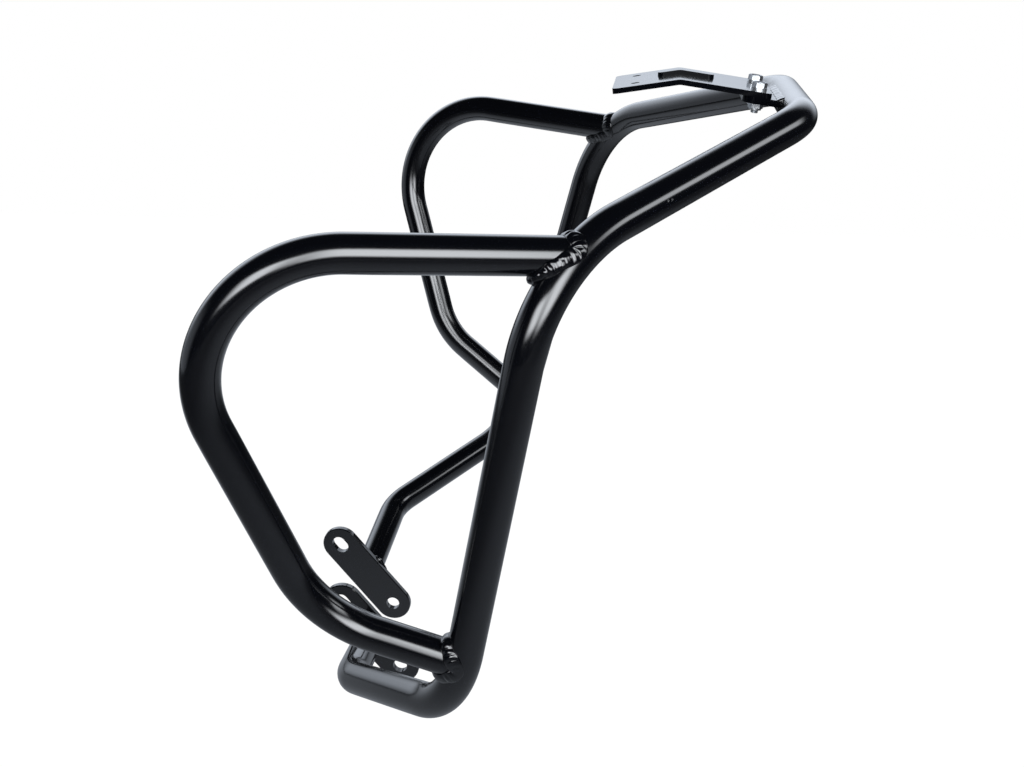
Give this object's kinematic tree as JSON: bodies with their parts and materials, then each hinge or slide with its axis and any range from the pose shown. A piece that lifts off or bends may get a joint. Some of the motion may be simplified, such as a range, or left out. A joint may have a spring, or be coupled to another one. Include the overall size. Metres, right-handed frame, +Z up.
{
  "type": "motorcycle crash bars",
  "caption": "Bent-tube crash bars for a motorcycle: a hoop around the engine with a loop welded to each side, slotted foot plates below and a folded bracket bolted to a front tab.",
  "frame": {"origin": "midway between the two rear bolt holes, on the underside of the frame bracket's rear leaf", "axes": "+X forward on the motorcycle, +Y to the rider's left, +Z up"},
  "size_m": [0.4189, 0.6787, 0.534],
  "materials": {
    "black_powder_coat": "gloss black powder coat",
    "zinc_plate": "bright zinc plate"
  },
  "bodies": {
    "root": {"main_hoop": "black_powder_coat", "left_loop": "black_powder_coat", "right_loop": "black_powder_coat", "left_foot_plate": "black_powder_coat", "right_foot_plate": "black_powder_coat", "front_tab": "black_powder_coat", "frame_bracket": "black_powder_coat", "left_upper_weld": "black_powder_coat", "right_upper_weld": "black_powder_coat", "left_lower_weld": "black_powder_coat", "right_lower_weld": "black_powder_coat", "left_plate_weld": "black_powder_coat", "right_plate_weld": "black_powder_coat", "tab_welds": "black_powder_coat", "hex_bolts": "zinc_plate", "washers": "zinc_plate", "lock_nuts": "zinc_plate"}
  },
  "joints": []
}
